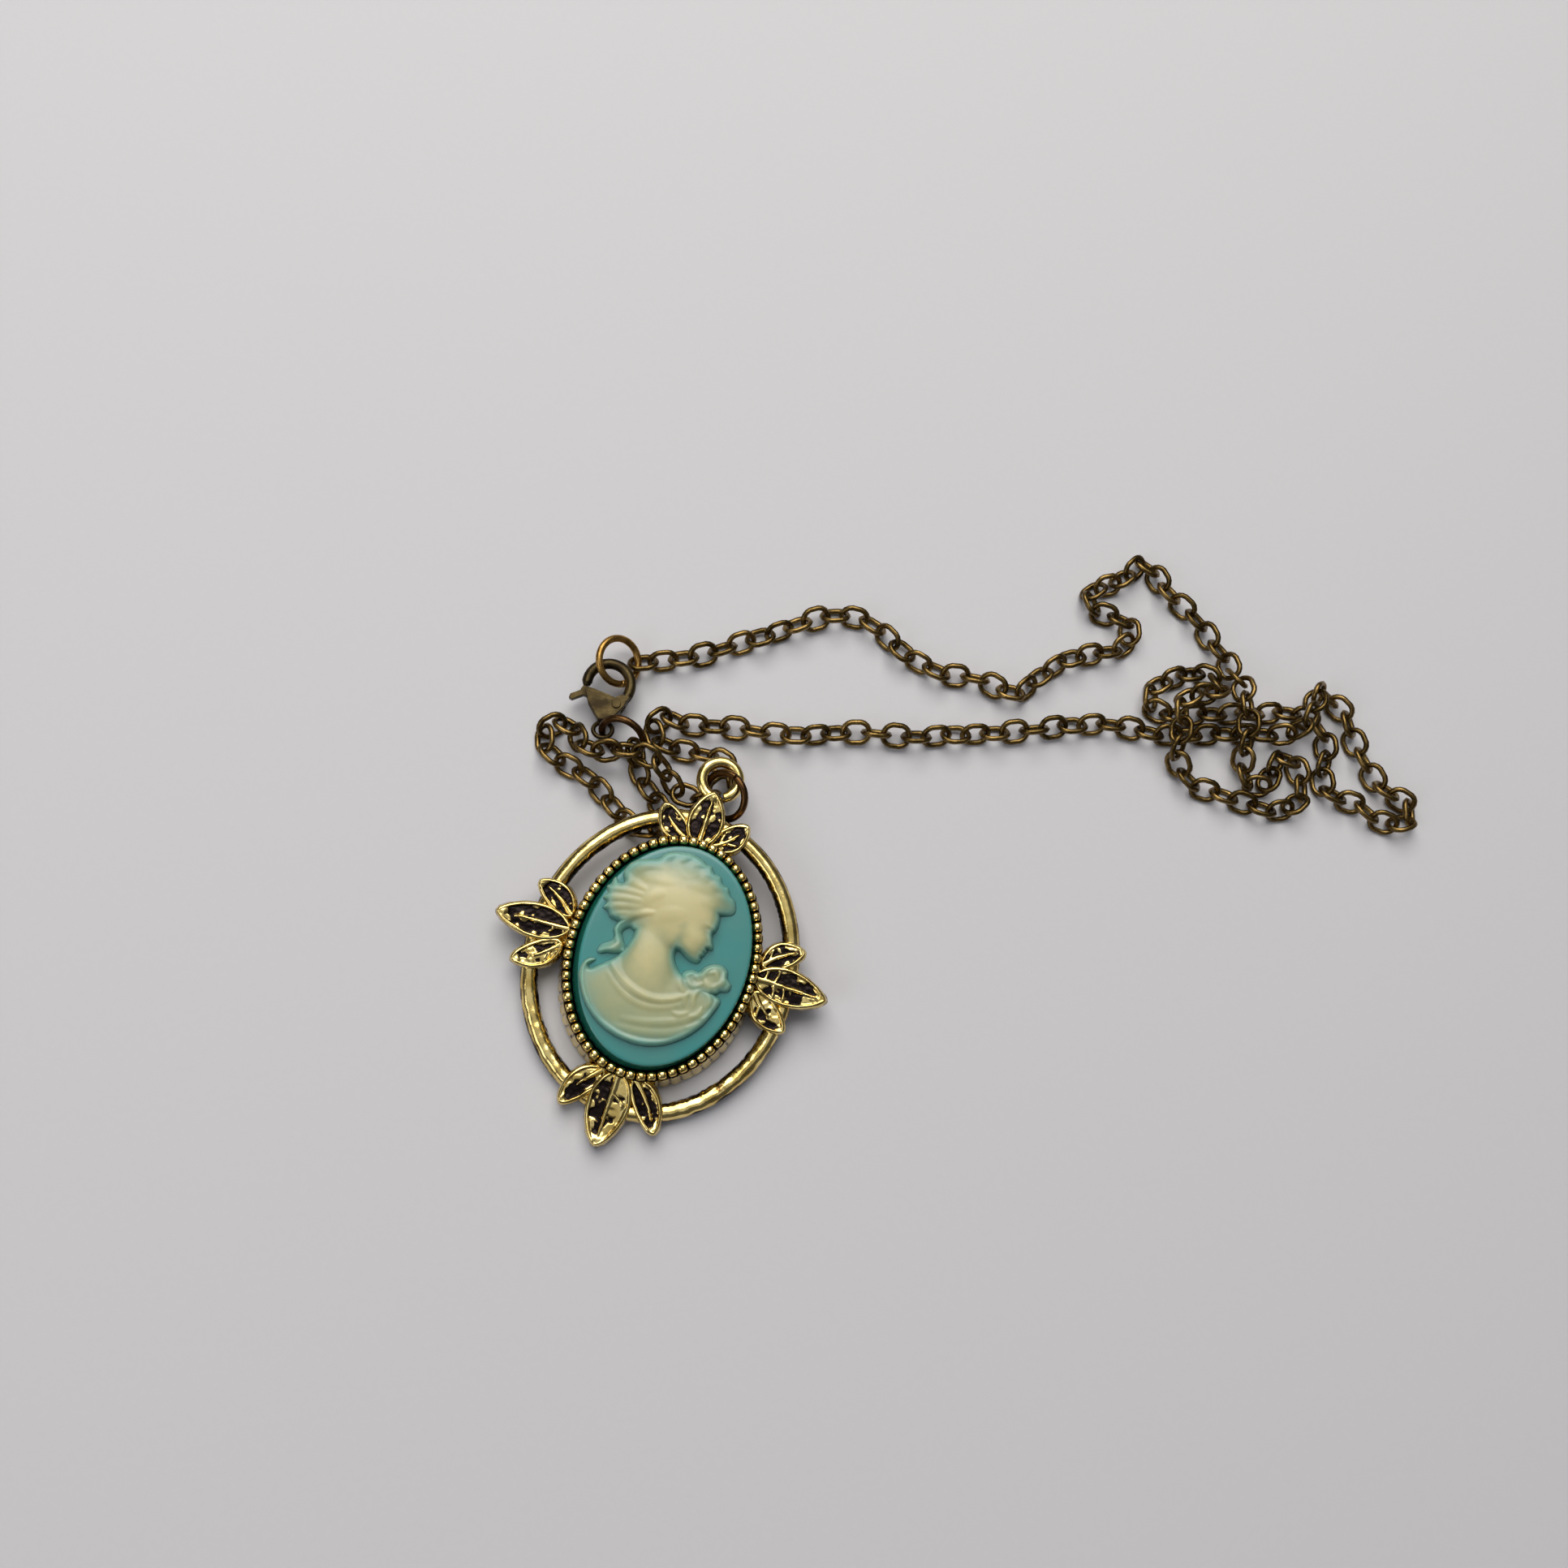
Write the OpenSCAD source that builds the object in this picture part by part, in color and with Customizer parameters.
// Cameo pendant necklace, lying on a table with its chain spread beside it.
// Millimetres. +X runs along the layout, +Z is up, and the origin is under the middle of the layout.
// The pendant is drawn in its own frame: u to the right, v up the oval, w out of its face,
// with w = 0 on the flat back of the cup.

/* [Cameo] */
// Width of the resin oval
cameo_w = 15.2; // [14.8:0.1:15.4]
// Height of the resin oval
cameo_h = 20; // [19.6:0.1:20.2]
// Thickness of the blue oval
cameo_t = 3; // [2.6:0.1:3.2]
// Width of the cream figure
relief_w = 12.9; // [12.6:0.1:13.1]
// Height of the cream figure, from the crown of its hair to the hem
relief_h = 17.1; // [16.8:0.1:17.3]
// How far the cream figure stands off the oval
relief_t = 1.5; // [1:0.1:1.8]

/* [Setting] */
// Depth of the cup that holds the cameo
cup_t = 2.9; // [2.6:0.1:3.1]
// Thickness of the cup's floor
floor_t = 0.8; // [0.6:0.1:1]
// Width of the rim outside the cameo
rim_w = 0.95; // [0.85:0.05:1.1]
// Beads around the rim
bead_n = 64; // [48:2:68]
// Diameter of a rim bead
bead_d = 0.72; // [0.6:0.02:0.76]
// Thickness of the open oval frame's wire
frame_d = 1.56; // [1.4:0.02:1.7]
// Half width of the open frame, to the middle of its wire
frame_a = 11.42; // [11.2:0.02:11.6]
// Half height of the open frame, to the middle of its wire
frame_b = 13.22; // [13:0.02:13.4]
// Thickness of a leaf
leaf_t = 1.3; // [1.1:0.1:1.5]
// Outer diameter of the hanging loop
loop_d = 4.4; // [4.2:0.1:4.5]
// Thickness of the hanging loop's wire
loop_wire = 1.04; // [0.9:0.02:1.1]

/* [Chain] */
// Thickness of a link's wire
wire_d = 0.4; // [0.36:0.01:0.41]
// Outside length of a link
link_l = 2.95; // [2.9:0.01:3]
// Outside width of a link
link_w = 2.45; // [2.43:0.01:2.47]
// Distance from one joint of the chain to the next
pitch = 1.93; // [1.92:0.005:1.94]

/* [Rings and clasp] */
// Outside diameter of the pendant's ring and of the chain's end ring
ring_d = 4.9; // [4.8:0.05:5]
// Outside diameter of the clasp's ring
clasp_ring_d = 4.7; // [4.6:0.05:4.8]
// Thickness of the rings' wire
ring_wire = 0.6; // [0.5:0.05:0.6]
// Thickness of the clasp's body
clasp_t = 1.6; // [1.5:0.05:1.7]
// Thickness of the clasp's lever
lever_t = 0.66; // [0.5:0.02:0.7]
// Radius of the clasp's rivet
rivet_r = 0.26; // [0.2:0.01:0.27]

/* [Hidden] */
$fn = 48;

// Middle of the layout, measured from the corner that the places below are measured from
layout_mid = [48.47, 33.61, 0];

// Where the pendant lies: its frame's origin, its turn in plan and how far its top end is raised
pendant_at = [19, 22.5, 1.05];
pendant_turn = -19;
pendant_tilt = 5;

// Where the clasp lies: the middle of its tail eye, its turn in plan and its rise towards the hook
clasp_at = [13.8, 43.5, 1.5];
clasp_turn = -8.4;
clasp_tilt = 5;

// Cup, frame and loop, in the pendant's frame
cup_mid = [0, -0.4];
frame_mid = [0, -0.85];
frame_z = 1.05;
foot_w = 0.4;
foot_t = 0.5;
fit_gap = 0.08;
loop_mid = [0.1, 16.5];
loop_z = 1.0;

// Leaf sprays: place of the middle leaf's base, its tip, its width, then each side leaf's base and tip
SPRAYS = [
    [[0, 9.8], [0, 15.1], 3.4, [[-1.1, 10.2], [-4.1, 12.8]], [[1.1, 10.2], [3.9, 13]]],
    [[-8.4, -0.5], [-15.2, -0.7], 3.2, [[-8.7, 0.6], [-12.4, 2.9]], [[-8.7, -1.8], [-12.7, -4.4]]],
    [[8.1, 0.3], [14.9, 0.1], 3.4, [[8.5, 1.4], [12, 3.7]], [[8.5, -0.9], [12.1, -3.6]]],
    [[-0.6, -10.8], [-0.7, -17.5], 3.8, [[-1.8, -11], [-4.8, -14.9]], [[0.8, -11], [3.9, -15.2]]]
];
leaf_z = 0.75;
side_leaf_w = 2;
leaf_rim = 0.32;
leaf_rim_t = 0.35;
rib_w = 0.24;
rib_tip_w = 0.1;
vein_w = 0.18;
vein_turn = 38;
side_leaf_drop = 0.13;

// Cream figure, in the pendant's frame. Outlines are closed curves through a few points.
HAIR_EDGE = [
    [-0.5, 8.75], [0.6, 8.6], [1.3, 8.25], [1.75, 8.2], [2.15, 7.7], [2.75, 7.55], [3.15, 7], [3.7, 6.8],
    [4.05, 6.25], [4.6, 5.85], [4.9, 5.1], [4.6, 4.6], [3.5, 4.2], [2.4, 3.4], [0.8, 1.8], [-1.2, 1],
    [-2.9, 0.9], [-3.6, 1.2], [-4.5, 1.3], [-5.3, 1.4], [-5.75, 1.9], [-6.2, 2.05], [-6.05, 2.6],
    [-6.45, 2.9], [-6.2, 3.4], [-6.4, 3.9], [-6.1, 4.2], [-6, 4.85], [-5.5, 4.5], [-5.1, 4.7],
    [-5.45, 5.4], [-5.2, 6.2], [-4.6, 6.85], [-3.6, 7.25], [-2.9, 7.5], [-2.5, 8.05], [-1.7, 8.5]
];
LOCK_EDGE = [
    [-4.2, 1.7], [-4.75, 0.7], [-4.5, -0.05], [-4.7, -0.5], [-5.35, -1], [-5.55, -1.6], [-5.2, -1.8],
    [-4.7, -1.55], [-4.05, -1.45], [-3.3, -1.1], [-3.3, -0.7], [-3.65, -0.1], [-3.95, 0.4], [-3.7, 0.9],
    [-2.8, 1.4], [-3.3, 2]
];
BUST_EDGE = [
    [-2.4, 3], [-2.95, 1.4], [-2.95, 0.5], [-3.1, -0.2], [-3.4, -1], [-4, -1.85], [-4.9, -2.65],
    [-5.6, -3.2], [-5.85, -3], [-5.6, -2.65], [-5.4, -2.35], [-5.95, -2.4], [-6.35, -2.9], [-6.45, -3.7],
    [-6.15, -4.6], [-5.3, -5.95], [-4.1, -7.05], [-2.6, -7.85], [-0.9, -8.2], [0.8, -8.15], [2.4, -7.6],
    [3.8, -6.65], [4.9, -5.4], [5.6, -4], [5.95, -2.8], [5.5, -2.4], [4, -2], [2.2, -1.5], [1.5, -1],
    [1.1, -0.4], [1, 0.2], [1.3, 1.2], [1.9, 2.6]
];
ROSE_EDGE = [
    [2.1, -1.4], [2.7, -0.85], [3.4, -0.85], [3.75, -0.3], [4.4, 0.15], [5.2, 0.27], [5.8, -0.1],
    [5.95, -0.65], [6.45, -1.15], [6.3, -1.75], [5.7, -1.95], [5.35, -2.25], [4.2, -2.6], [2.6, -2.4]
];

// Head in profile, calm and evenly proportioned, from the ear: forwards, upwards
head_at = [0.5, 2.6];
head_turn = -10;
FACE_EDGE = [
    [0, 2.2], [2.2, 2.9], [2.9, 2.2], [3.15, 1.5], [3.18, 0.9], [3.06, 0.5], [3.3, 0], [3.66, -0.52],
    [3.56, -0.74], [3.22, -0.84], [3.3, -1.06], [3.2, -1.24], [3.26, -1.42], [3.08, -1.68], [3.16, -2],
    [2.9, -2.35], [2.2, -2.4], [1.2, -2.05], [0.4, -1.8]
];

// Smooth masses of the figure: middle, half length, half width, turn, height
MASSES = [
    [-0.3, -4.2, 7, 5, 0, 0.72], [-1, -0.6, 2.7, 4.4, 8, 0.95], [1.3, 2.6, 3.6, 3.3, -10, 1.02],
    [-0.4, 4.3, 4.6, 3.6, 10, 1.15], [-0.2, 6, 5.2, 3.3, -6, 0.8], [-4.2, 3.2, 3, 2.5, 10, 0.7],
    [-3.2, 6, 2.6, 1.8, 12, 0.72], [4.6, -1.1, 2.1, 1.7, 0, 0.62], [4.4, -3.4, 1.9, 2.6, 15, 0.62],
    [-4.4, 0, 1.2, 2.4, -8, 0.45]
];

// Soft swellings and hollows of the head, from the ear: middle, half length, half width, turn, rise
SWELLINGS = [
    [2.75, 0.98, 0.5, 0.16, -8, 0.08], [2.55, 0.5, 0.42, 0.3, 0, -0.13],
    [2.6, 0.48, 0.26, 0.12, -8, 0.12], [1.8, -0.5, 0.9, 0.7, -20, 0.1], [3.2, -0.1, 0.2, 0.6, 28, 0.1],
    [3.2, -0.62, 0.18, 0.15, 0, 0.08], [3.05, -1.12, 0.28, 0.1, -10, 0.08],
    [3.08, -1.27, 0.3, 0.05, 0, -0.08], [3.02, -1.44, 0.24, 0.1, 5, 0.08],
    [2.85, -2, 0.35, 0.28, 0, 0.08], [1.9, -1.5, 0.8, 0.4, -20, 0.05], [1.2, -2.5, 1.5, 0.4, -14, -0.22]
];

// Raised strokes, each thickest at its middle: start, middle and end of the curve, half width, height
STROKES = [
    // Hair: curls over the brow and crown
    [4.9, 4.9, 4.3, 6.3, 2.9, 5.6, 0.75, 0.09], [4.3, 6, 3.4, 7.1, 2, 6.4, 0.7, 0.09],
    [3.3, 7, 2.3, 8, 1.1, 7.2, 0.7, 0.09], [2, 7.9, 0.9, 8.7, 0, 7.6, 0.7, 0.09],
    [0.4, 8.6, -0.9, 8.7, -1.2, 7.4, 0.65, 0.1], [-1.1, 8.5, -2.5, 8.2, -2.4, 7, 0.65, 0.1],
    [4, 4.6, 3.2, 5.4, 1.8, 5, 0.7, 0.05], [2.6, 5.9, 1.4, 6.6, 0.2, 6, 0.7, 0.04],
    [0.9, 7, -0.2, 6.5, -1, 7.2, 0.6, 0.05],
    // Hair: rolled wave above the nape
    [-2.4, 7.6, -5.3, 7.5, -5.2, 5.2, 0.5, 0.1], [-5.3, 5.9, -5.2, 4.6, -3.5, 5, 0.45, 0.08],
    [-1.6, 6.8, -3.6, 7.3, -4.3, 5.9, 0.7, 0.09], [-0.8, 5.8, -2.4, 6, -3.6, 5.4, 0.7, 0.05],
    // Hair: gathered below, with loose tufts
    [-3, 4.5, -4.6, 4.9, -6.2, 4.6, 0.48, 0.1], [-3, 4, -4.8, 4.2, -6.5, 3.7, 0.46, 0.09],
    [-2.9, 3.4, -4.6, 3.5, -6.5, 2.8, 0.46, 0.1], [-2.8, 2.9, -4.5, 2.8, -6.3, 2, 0.46, 0.09],
    [-2.6, 2.4, -4.2, 2, -5.8, 1.5, 0.46, 0.1], [-1.4, 4.6, -2.9, 4.4, -3.1, 2.9, 0.7, 0.05],
    [1, 3.4, -0.6, 3.3, -2.2, 2, 0.8, 0.04],
    // Lock that hangs from the nape
    [-1.6, 2.8, -3.6, 2.5, -4.6, 0.8, 0.45, 0.14], [-4, 1.9, -5.3, 0.3, -3.8, -0.5, 0.4, 0.2],
    [-4, 0.2, -3.4, -1, -5.6, -1.6, 0.44, 0.2],
    // Rolled neckline, then the folds of the dress
    [-4.4, -1.9, -0.4, -6, 3.4, -2.7, 0.48, 0.17], [-4.2, -3, -0.5, -6.6, 3.4, -3.4, 0.42, 0.07],
    [5, -3.9, 2.4, -6.3, -2, -6.5, 0.5, 0.07], [5.2, -4.6, 2.6, -7.5, -2.4, -7.2, 0.5, 0.07],
    // Shawl's rolled edge
    [-5.3, -2.5, -6.5, -1.9, -6.2, -4.1, 0.32, 0.2], [-6.3, -3.1, -6, -6, -2.8, -7.6, 0.4, 0.18],
    [-4.2, -6.8, -0.4, -9.1, 3.4, -6.8, 0.4, 0.16], [1.8, -7.6, 4.9, -6, 5.7, -3.2, 0.38, 0.1],
    // Roses petal by petal, then the ruffle below them
    [3.8, -1.5, 3.9, 0.9, 5.8, -0.4, 0.42, 0.15], [5.3, 0.1, 6.3, -1.1, 4.9, -1.7, 0.4, 0.14],
    [4.2, -0.9, 4.9, 0.1, 5.2, -1.2, 0.32, 0.12], [4, -1.2, 4.6, -2.3, 5.5, -1.5, 0.38, 0.12],
    [5.3, -1, 6.7, -0.7, 6, -1.9, 0.36, 0.14], [2.4, -1.6, 3.1, -0.4, 4, -1.3, 0.38, 0.12],
    [2.6, -1.5, 3.1, -2.7, 4.1, -1.6, 0.36, 0.11], [3, -1.5, 3.4, -1, 3.6, -1.7, 0.26, 0.08],
    [2, -1.8, 2.2, -2.7, 3.1, -2.9, 0.4, 0.08], [5, -2, 6.1, -2.3, 5.5, -3.7, 0.38, 0.14],
    [4.5, -2.2, 5.3, -2.7, 4.9, -3.6, 0.34, 0.12], [4, -2.3, 3.2, -2.9, 3.9, -3.8, 0.36, 0.12],
    [3.4, -2.6, 2.6, -3.2, 3.1, -4, 0.34, 0.1], [5.5, -3.6, 5.4, -4.7, 4.5, -4.6, 0.34, 0.11],
    [4.6, -3.6, 4.5, -4.7, 3.6, -4.7, 0.34, 0.11], [4.8, -4.6, 4.5, -5.6, 3.5, -5.7, 0.34, 0.1],
    [3.6, -4.3, 3, -5.1, 2.2, -4.7, 0.34, 0.08]
];
hem_t = 0.22;

// How sharply neighbouring masses and strokes meet: higher is sharper
mass_blend = 6;
stroke_blend = 3;

// Net that the figure's height is worked out on
relief_grid = 0.25;
relief_corner = [-6.92, -8.78];

// Chain's route from the end ring to the clasp's ring: x, y, lift above the table, twist in degrees, and
// how much nearer the joints lie in a tight bend. A strand that crosses another is lifted over it.
ROUTE = [
    [16.7, 50.2, 0, 0, 0], [19.8, 50.4, 0, 15, 0], [23.5, 51, 0, -10, 0], [27, 52.2, 0, 0, 0],
    [30.6, 53.2, 0, 20, 0], [34, 54.5, 0, -15, 0], [37, 55, 0, 10, 0], [40, 54, 0, 0, 0],
    [43, 50.8, 0, 20, 0], [46.7, 48.8, 0, 0, 0], [50, 48.4, 0, -15, 0], [53.3, 46.6, 0, 10, 0.15],
    [56, 48.5, 0, 0, 0], [59, 50.3, 0, 15, 0], [62, 50.8, 0, -10, 0], [64.4, 51.3, 0, 0, 0.1],
    [65.9, 52.7, 0, 0, 0.2], [65.3, 54.4, 0, 0, 0.2], [63.2, 54.9, 0, 0, 0.1], [61.6, 56, 0, 0, 0.2],
    [62.2, 57.6, 0, 0, 0.3], [64, 58.1, 0, 0, 0.15], [65.9, 58.6, 0, 0, 0.1], [66.7, 60.3, 0, 0, 0.32],
    [68.5, 60.2, 0, 0, 0.3], [69.2, 58.5, 0, 0, 0.1], [71, 56.1, 0, 10, 0], [73, 54, 0, 0, 0],
    [73.8, 51.9, 0, 10, 0], [75.2, 50.2, 0, 0, 0.1], [75.5, 48.4, 0.4, 0, 0.15], [75.7, 46.8, 1.9, 0, 0.15],
    [75.7, 44.6, 2.3, 0, 0], [75.5, 42.4, 2.3, 0, 0.1], [75.3, 40.9, 2, 0, 0.15],
    [75.1, 39.4, 0.5, 0, 0.15], [75.4, 37.7, 0, 0, 0.15], [76.6, 36.8, 0, 0, 0.2], [78, 37.4, 0, 0, 0.2],
    [78.4, 39, 0, 0, 0.2], [79.6, 40.2, 0, 0, 0.3], [80.9, 39.2, 0, 0, 0.2], [81.1, 37.5, 0, 0, 0],
    [80.9, 35.9, 0, 0, 0.15], [79.7, 34.8, 0, 0, 0.1], [77.8, 34.6, 0, 0, 0], [75.9, 35.1, 0, 0, 0],
    [74, 35.9, 0, 0, 0], [72, 36.6, 0, 0, 0], [70.3, 37.2, 0, 0, 0], [69.2, 38.5, 0, 0, 0.1],
    [68.5, 40, 0.8, 0, 0.15], [68.6, 41.3, 2.1, 0, 0.15], [68.9, 43.1, 2.3, 0, 0], [69, 44.8, 2.3, 0, 0.2],
    [70, 45.9, 2.3, 0, 0.1], [71.5, 45.8, 2.3, 0, 0.2], [73.1, 46, 1.9, 0, 0.35],
    [73.8, 47.3, 0.9, 0, 0.35], [72.7, 48.6, 0.1, 0, 0.25], [70.9, 48.6, 0, 0, 0.1], [68.7, 48, 0, 0, 0.1],
    [67.1, 47, 0, 0, 0.2], [66.7, 45.5, 0, 0, 0.2], [68, 44.5, 0, 0, 0.1], [70, 44.4, 0, 0, 0],
    [73, 44.5, 0, 0, 0], [76, 44.5, 0, 0, 0], [78.6, 44.5, 0, 0, 0], [81, 44.5, 0, 0, 0],
    [83, 43.9, 0, 0, 0.1], [84.2, 41.9, 0, 0, 0.1], [84.1, 39.9, 0, 0, 0], [83.2, 38.2, 0, 0, 0.1],
    [83.3, 36.6, 0, 0, 0.15], [84.8, 35.7, 0, 0, 0.1], [86.4, 35.2, 0, 0, 0], [87.7, 33.9, 0, 0, 0],
    [89.3, 33, 0, 0, 0], [91.1, 32.9, 0, 0, 0.3], [92, 34.5, 0, 0, 0.3], [90.7, 35.7, 0, 0, 0.2],
    [88.8, 37, 0, 0, 0], [88.2, 38.7, 0, 0, 0], [87.5, 40.4, 0, 0, 0], [87, 42.1, 0, 0, 0],
    [86.9, 43.9, 0, 0, 0.15], [85.8, 45.4, 0, 0, 0.15], [84.4, 46.3, 0.6, 0, 0.25],
    [83, 45.8, 1.9, 0, 0.25], [82.3, 44, 2.4, 0, 0.1], [81.3, 42.4, 2, 0, 0.15], [79.6, 42.1, 0.5, 0, 0.15],
    [77.8, 42.3, 0, 0, 0], [75.6, 42.4, 0, 0, 0], [73, 42.4, 0, 0, 0], [70.4, 42.4, 0, 0, 0],
    [68, 42.4, 0, 0, 0], [66, 42.7, 0, 0, 0], [63, 43.5, 0, 10, 0], [59, 43.5, 0, -10, 0],
    [55, 43.1, 0, 20, 0], [51, 42.8, 0, 0, 0], [47, 42.7, 0, -15, 0], [43, 42.5, 0, 10, 0],
    [39, 43, 0, 20, 0], [36, 43.1, 0, 0, 0], [33, 42.8, 0, -15, 0], [30, 43, 0, 0, 0], [27, 43.5, 0, 15, 0],
    [24, 43.9, 0, 0, 0], [21.8, 43.9, 0, 0, 0], [21, 44.3, 0, 0, 0.1], [19.5, 45, 0, 0, 0.3],
    [18.3, 43.9, 0.1, 0, 0.2], [18.7, 42.5, 0.1, 0, 0.2], [20, 41.8, 0, 0, 0.1], [22.3, 41.3, 0, 0, 0],
    [24.1, 40.8, 0, -15, 0.25], [25.5, 39.7, 0, -30, 0.35], [25.4, 38.2, 0.1, -45, 0.2],
    [24, 37.1, 0.2, -45, 0], [22.1, 36.8, 0.2, -45, 0.1], [20.6, 37.3, 0.2, -20, 0.2],
    [19.9, 38.6, 1, 0, 0], [18.9, 39.8, 2.1, 0, 0], [17.7, 40.5, 2.5, 0, 0], [16.7, 40.9, 2.4, 0, 0],
    [15, 41.2, 2.1, 0, 0.1], [13.3, 41, 1.6, 0, 0.15], [12, 41.8, 1.2, 0, 0.15], [11.5, 42.9, 0.6, 0, 0.15],
    [10.6, 44.3, 0.2, 0, 0.3], [9, 44.4, 0, 0, 0.25], [8.2, 42.9, 0, 0, 0.15], [9.2, 41.1, 0, 0, 0],
    [11.4, 39.8, 0, 0, 0], [12.8, 38.7, 0, 0, 0], [13.9, 37.3, 0, 0, 0], [15, 35.8, 0, 0, 0],
    [16, 34.6, 0, 0, 0.15], [17.5, 33.8, 0, 0, 0.2], [19, 34.3, 0, 0, 0.2], [19.3, 35.8, 0, 0, 0.1],
    [18.4, 37, 0, 0, 0], [17.5, 38.4, 0, 0, 0], [16.9, 40, 0, 0, 0], [16.7, 42.6, 0.3, 0, 0]
];

// Height that leaves room for a link's roll where the twist changes
lie_gap = 0.05;

// Places of the three rings: middle, then the direction that each one's axis points in
PENDANT_RING = [[24.8, 36.55, 3.02], [-0.83, -0.43, 1]];
END_RING = [[15.4, 50.1, 1.95], [0.66, -0.24, 1]];
CLASP_RING = [[15.62, 42.68, 2.12], [-0.83, -1.62, 1]];

// Places on the clasp, from the middle of its tail eye: x to the right, y towards the hook
eye_r = 0.88;
eye_wire = 0.44;
eye_lean = -25;
hook_mid = [0, 4.35];
hook_r = 2.03;
hook_wire = 1;
rivet_at = [0.95, 2.45];
slot_t = 0.84;
run_gap = 0.04;
rivet_head_r = 0.42;
rivet_head_t = 0.14;

chain_colour = [0.47, 0.36, 0.19];
gold_colour = [0.76, 0.62, 0.27];

// Frames that carry the pieces to where they lie

module on_table() { translate(-layout_mid) children(); }
module on_pendant() {
    on_table() translate(pendant_at) rotate([0, 0, pendant_turn]) rotate([pendant_tilt, 0, 0]) children();
}
module on_clasp() {
    on_table() translate(clasp_at) rotate([0, 0, clasp_turn]) rotate([clasp_tilt, 0, 0]) children();
}

// Turns +Z to point along a direction
function lean(axis) = acos(axis.z / norm(axis));
module aim(axis) {
    rotate([0, 0, atan2(axis.y, axis.x)]) rotate([0, lean(axis), 0]) children();
}

// Shapes that repeat

module wire_ring(outer_d, wire) {
    rotate_extrude() translate([(outer_d - wire) / 2, 0]) circle(d = wire);
}

function ellipse(a, b, n = 72) = [for (i = [0 : n - 1]) [a * cos(360 * i / n), b * sin(360 * i / n)]];

// Pointed leaf outline from the origin to [len, 0], made of two arcs and drawn in by inset
module leaf_outline(len, width, inset = 0) {
    arc_r = (len * len / 4 + width * width / 4) / width;
    intersection() {
        translate([len / 2, arc_r - width / 2]) circle(arc_r - inset, $fn = 96);
        translate([len / 2, width / 2 - arc_r]) circle(arc_r - inset, $fn = 96);
    }
}

// One leaf with a raised edge, a tapering rib and slanting veins round one cut pocket
module leaf(from, to, width, veins, drop = 0) {
    span = to - from;
    len = norm(span);
    translate([from.x, from.y, leaf_z - drop]) rotate([0, 0, atan2(span.y, span.x)]) difference() {
        linear_extrude(leaf_t + leaf_rim_t) leaf_outline(len, width);
        translate([0, 0, leaf_t]) linear_extrude(leaf_t) difference() {
            leaf_outline(len, width, leaf_rim);
            polygon([[0.2, -rib_w], [len - 0.5, -rib_tip_w], [len - 0.5, rib_tip_w], [0.2, rib_w]]);
            if (veins > 0) for (i = [1 : veins], side = [-1, 1])
                translate([len * (0.12 + 0.18 * i), 0]) rotate(vein_turn * side)
                    translate([0, -vein_w / 2]) square([width, vein_w]);
        }
    }
}

// Setting: cup with beaded rim, open oval frame, four leaf sprays and the loop, cast in one

module cup() {
    a = cameo_w / 2 + fit_gap;
    b = cameo_h / 2 + fit_gap;
    translate([cup_mid.x, cup_mid.y, 0]) difference() {
        union() {
            linear_extrude(cup_t) polygon(ellipse(a + rim_w, b + rim_w));
            linear_extrude(foot_t) polygon(ellipse(a + rim_w + foot_w, b + rim_w + foot_w));
        }
        translate([0, 0, floor_t]) linear_extrude(cup_t) polygon(ellipse(a, b));
    }
}

// Beads at even steps along the rim: equal angles would crowd them at its ends
module rim_beads() {
    a = (cameo_w + rim_w) / 2 + fit_gap;
    b = (cameo_h + rim_w) / 2 + fit_gap;
    uneven = 90 / PI * (b - a) / (b + a);
    for (i = [0 : bead_n - 1]) {
        even = 360 * (i + 0.5) / bead_n;
        at = even - uneven * sin(2 * even);
        translate([cup_mid.x + a * cos(at), cup_mid.y + b * sin(at), cup_t])
            sphere(d = bead_d, $fn = 24);
    }
}

module open_frame() {
    translate([frame_mid.x, frame_mid.y, frame_z]) scale([1, frame_b / frame_a, 1])
        rotate_extrude() translate([frame_a, 0]) circle(d = frame_d);
}

module leaf_sprays() {
    for (spray = SPRAYS) {
        leaf(spray[0], spray[1], spray[2], 3);
        for (side = [3, 4])
            leaf(spray[side][0], spray[side][1], side_leaf_w, 0, side_leaf_drop);
    }
}

module setting() {
    color(gold_colour) on_pendant() {
        cup();
        rim_beads();
        open_frame();
        leaf_sprays();
        translate([loop_mid.x, loop_mid.y, loop_z]) wire_ring(loop_d, loop_wire);
    }
}

// Cameo: the blue oval with a bevelled edge, and the cream figure raised on it

module cameo_base() {
    color([0.33, 0.64, 0.63]) on_pendant() translate([cup_mid.x, cup_mid.y, floor_t + run_gap]) {
        linear_extrude(cameo_t - 0.4) polygon(ellipse(cameo_w / 2, cameo_h / 2));
        linear_extrude(cameo_t - 0.15) polygon(ellipse(cameo_w / 2 - 0.2, cameo_h / 2 - 0.2));
        linear_extrude(cameo_t) polygon(ellipse(cameo_w / 2 - 0.5, cameo_h / 2 - 0.5));
    }
}

// Places on the head, turned with it
function on_head(p) =
    head_at + [p.x * cos(head_turn) - p.y * sin(head_turn), p.x * sin(head_turn) + p.y * cos(head_turn)];

// Closed curve through a list of points
function closed_curve(p) = let (n = len(p)) [
    for (i = [0 : n - 1], k = [0 : 3])
        spline(p[(i + n - 1) % n], p[i], p[(i + 1) % n], p[(i + 2) % n], k / 4)
];

// Squared distance of a point from a row's middle, in half lengths and half widths, after its turn
function spread(p, r) =
    let (d = p - [r[0], r[1]], x = d.x * cos(r[4]) + d.y * sin(r[4]), y = d.y * cos(r[4]) - d.x * sin(r[4]))
    (x / r[2]) ^ 2 + (y / r[3]) ^ 2;

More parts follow.
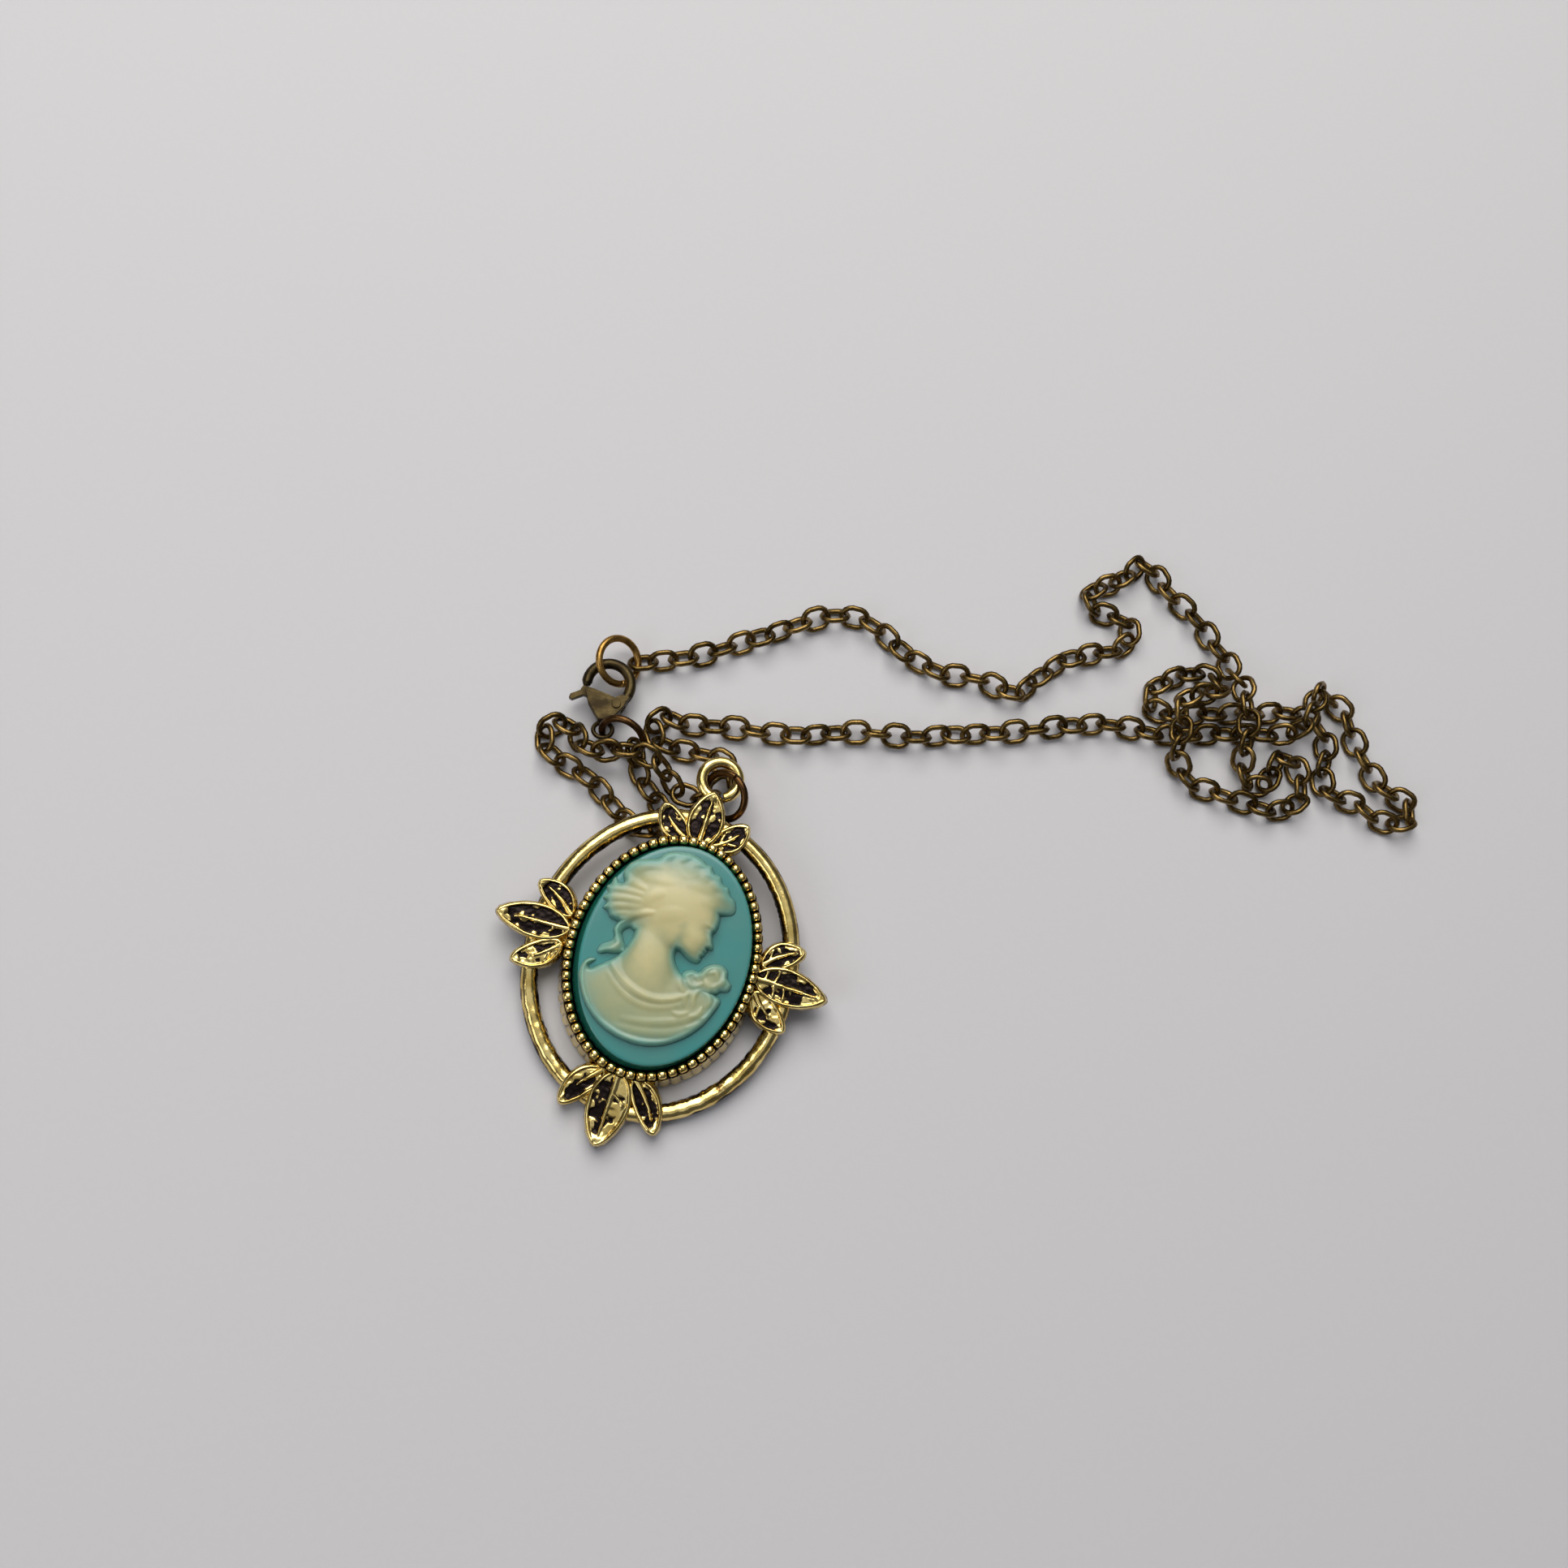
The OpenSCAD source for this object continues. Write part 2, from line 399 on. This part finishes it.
// Points along a stroke
function stroke_line(r) = [
    for (t = [0 : 0.2 : 1])
        [r[0], r[1]] * (1 - t) ^ 2 + [r[2], r[3]] * 2 * t * (1 - t) + [r[4], r[5]] * t ^ 2
];
head_swellings = [for (r = SWELLINGS) concat(on_head([r[0], r[1]]), r[2], r[3], r[4] + head_turn, r[5])];
stroke_lines = [for (r = STROKES) stroke_line(r)];

// How full a stroke is at a share of its length
function swell(share) = sqrt(sin(180 * min(1, max(0, share))));

// Height of one stroke at a point, over the nearest of the five straight parts of its line
function stroke_rise(p, line, r) = r[7] * max([
    for (i = [1 : 5])
        let (a = line[i - 1], ab = line[i] - a, t = min(1, max(0, (p - a) * ab / (ab * ab))))
        let (full = swell((i - 1 + t) / 5), off = norm(p - a - t * ab) / (r[6] * (0.4 + 0.6 * full)))
        full * max(0, 1 - off ^ 2) ^ 1.5
]);

function sum(list) = list * [for (v = list) 1];
function blended(heights, sharp) = sum([for (h = heights) h ^ sharp]) ^ (1 / sharp);
function mass_height(p) = blended([for (r = MASSES) r[5] * sqrt(max(0, 1 - spread(p, r)))], mass_blend);
function swelling_height(p) = sum([for (r = head_swellings) r[5] * exp(-spread(p, r))]);
function stroke_height(p) =
    blended([for (i = [0 : len(STROKES) - 1]) stroke_rise(p, stroke_lines[i], STROKES[i])], stroke_blend);
function relief_height(p) = max(hem_t, mass_height(p) + swelling_height(p) + stroke_height(p));

// Solid under the figure's height, on a square grid
module relief_block() {
    across = round(relief_w / relief_grid) + 4;
    up = round(relief_h / relief_grid) + 4;
    top = [
        for (j = [0 : up], i = [0 : across])
            let (p = relief_corner + relief_grid * [i, j]) [p.x, p.y, relief_height(p)]
    ];
    cell = function(i, j) j * (across + 1) + i;
    rim = concat([for (i = [0 : across - 1]) cell(i, 0)], [for (j = [0 : up - 1]) cell(across, j)],
                 [for (i = [across : -1 : 1]) cell(i, up)], [for (j = [up : -1 : 1]) cell(0, j)]);
    first = len(top);
    last = len(rim) - 1;
    polyhedron(concat(top, [for (k = rim) [top[k].x, top[k].y, 0]]), concat(
        [for (j = [0 : up - 1], i = [0 : across - 1])
            each [[cell(i, j), cell(i, j + 1), cell(i + 1, j + 1)],
                  [cell(i, j), cell(i + 1, j + 1), cell(i + 1, j)]]],
        [for (k = [0 : last]) let (n = k < last ? k + 1 : 0) [rim[k], rim[n], first + n, first + k]],
        [[for (k = [0 : last]) first + k]]
    ));
}

// Outline of the whole figure
module relief_outline() {
    for (edge = [HAIR_EDGE, LOCK_EDGE, BUST_EDGE, ROSE_EDGE]) polygon(closed_curve(edge));
    polygon([for (p = closed_curve(FACE_EDGE)) on_head(p)]);
}

module cameo_relief() {
    color([0.87, 0.84, 0.69]) on_pendant() translate([0, 0, floor_t + cameo_t + 2 * run_gap])
        resize([relief_w, relief_h, relief_t]) intersection() {
            relief_block();
            linear_extrude(3) relief_outline();
        }
}

// Rings

module ring_at(place, outer_d) {
    on_table() translate(place[0]) aim(place[1]) wire_ring(outer_d, ring_wire);
}
module pendant_ring() { color([0.5, 0.33, 0.2]) ring_at(PENDANT_RING, ring_d); }
module end_ring() { color([0.55, 0.4, 0.2]) ring_at(END_RING, ring_d); }
module clasp_ring() { color([0.5, 0.33, 0.2]) ring_at(CLASP_RING, clasp_ring_d); }

// Chain

function spline(a, b, c, d, t) =
    0.5 * (2 * b + (c - a) * t + (2 * a - 5 * b + 4 * c - d) * t ^ 2 + (3 * b - a - 3 * c + d) * t ^ 3);

// Rows of the route with their lift turned into the height of the chain's middle line
half_wide = (link_w - wire_d) / 2;
rows = [
    for (r = ROUTE) [r.x, r.y, r.z + lie_gap + wire_d / 2 + half_wide * sin(45 + abs(r[3])), r[3], r[4]]
];
last_row = len(rows) - 1;
steps = 8;
curve = [
    for (i = [0 : last_row - 1], k = [0 : steps - 1])
        spline(rows[max(i - 1, 0)], rows[i], rows[i + 1], rows[min(i + 2, last_row)], k / steps),
    rows[last_row]
];

function place(p) = [p.x, p.y, p.z];

// Point on the line from a to b that lies one pitch away from the last joint
function pitch_point(a, b, last) =
    let (d = place(b - a), f = place(a - last), df = d * f, dd = d * d, away = pitch - last[4])
    a + (b - a) * ((sqrt(df ^ 2 - dd * (f * f - away ^ 2)) - df) / dd);

// Joints of the chain: walks the curve and drops a joint whenever it is one pitch from the last
joints = [
    for (i = 1, found = true, at = curve[0];
         i < len(curve);
         found = norm(place(curve[i] - at)) >= pitch - at[4],
         at = found ? pitch_point(curve[i - 1], curve[i], at) : at,
         i = found ? i : i + 1)
    if (found) at
];

module link() {
    half_long = (link_l - link_w) / 2;
    for (turn = [0, 180]) rotate([0, 0, turn]) {
        translate([half_long, 0, 0]) rotate_extrude(angle = 180, start = -90)
            translate([half_wide, 0]) circle(d = wire_d);
        translate([-half_long, half_wide, 0]) rotate([0, 90, 0]) cylinder(d = wire_d, h = 2 * half_long);
    }
}

// Stands a link between two joints, rolled about the line between them
module link_between(a, b, roll) {
    along = (b - a) / norm(b - a);
    flat = cross([0, 0, 1], along);
    side = flat / norm(flat);
    up = cross(along, side);
    y = side * cos(roll) + up * sin(roll);
    z = cross(along, y);
    mid = (a + b) / 2;
    multmatrix([[along.x, y.x, z.x, mid.x], [along.y, y.y, z.y, mid.y], [along.z, y.z, z.z, mid.z]]) link();
}

function roll_of(i) = (i % 2 == 0 ? -45 : 45) + (joints[i][3] + joints[i + 1][3]) / 2;

module chain() {
    color(chain_colour) on_table() for (i = [0 : len(joints) - 2])
        link_between(place(joints[i]), place(joints[i + 1]), roll_of(i));
}

// Clasp: hooked body with a slot, the lever that closes it, and the rivet that the lever turns on

module clasp_outline() {
    polygon([[-0.55, 0.8], [0.55, 0.8], [1.6, 2.1], [2.15, 3.3], [1.3, 3.4], [0.6, 2.95],
             [-0.9, 3.2], [-2.05, 3.4], [-1.7, 2.4]]);
}

module lever_outline(grow = 0) {
    polygon([[1.35 + grow, 2.1 - grow], [1.3 + grow, 3.15 + grow], [0.7, 3.2 + grow], [-1.2, 3.75 + grow],
             [-2.3, 3.95 + grow], [-2.5 - grow, 3.6], [-2.35, 3.1 - grow], [-1.2, 2.6 - grow]]);
}

module clasp_body() {
    color([0.32, 0.27, 0.17]) on_clasp() {
        difference() {
            union() {
                translate([0, 0, -clasp_t / 2]) linear_extrude(clasp_t) clasp_outline();
                translate([hook_mid.x, hook_mid.y, 0]) rotate_extrude(angle = 221, start = -38)
                    translate([hook_r, 0]) circle(d = hook_wire);
            }
            translate([0, 0, -slot_t / 2]) linear_extrude(slot_t)
                polygon([[1.75, 2], [1.75, 3.6], [-3, 4.5], [-3, 1.6], [-0.6, 1.3]]);
            translate([rivet_at.x, rivet_at.y, -clasp_t]) cylinder(r = rivet_r + 0.02, h = 2 * clasp_t);
        }
        rotate([eye_lean, 0, 0]) rotate_extrude() translate([eye_r, 0]) circle(d = eye_wire);
    }
}

module clasp_rivet() {
    color([0.4, 0.34, 0.2]) on_clasp() translate([rivet_at.x, rivet_at.y, 0]) {
        cylinder(r = rivet_r, h = clasp_t + 0.1, center = true);
        for (turn = [0, 180]) rotate([turn, 0, 0])
            translate([0, 0, clasp_t / 2 + 0.02]) cylinder(r = rivet_head_r, h = rivet_head_t);
    }
}

module clasp_lever() {
    color([0.36, 0.3, 0.18]) on_clasp() translate([0, 0, -lever_t / 2]) linear_extrude(lever_t)
        difference() {
            union() {
                lever_outline();
                polygon([[-2, 3.75], [-3.4, 3], [-3.5, 2.6], [-3.2, 2.45], [-2.2, 3]]);
            }
            translate(rivet_at) circle(rivet_r + 0.05);
        }
}

setting();
cameo_base();
cameo_relief();
pendant_ring();
end_ring();
clasp_ring();
clasp_body();
clasp_rivet();
clasp_lever();
chain();
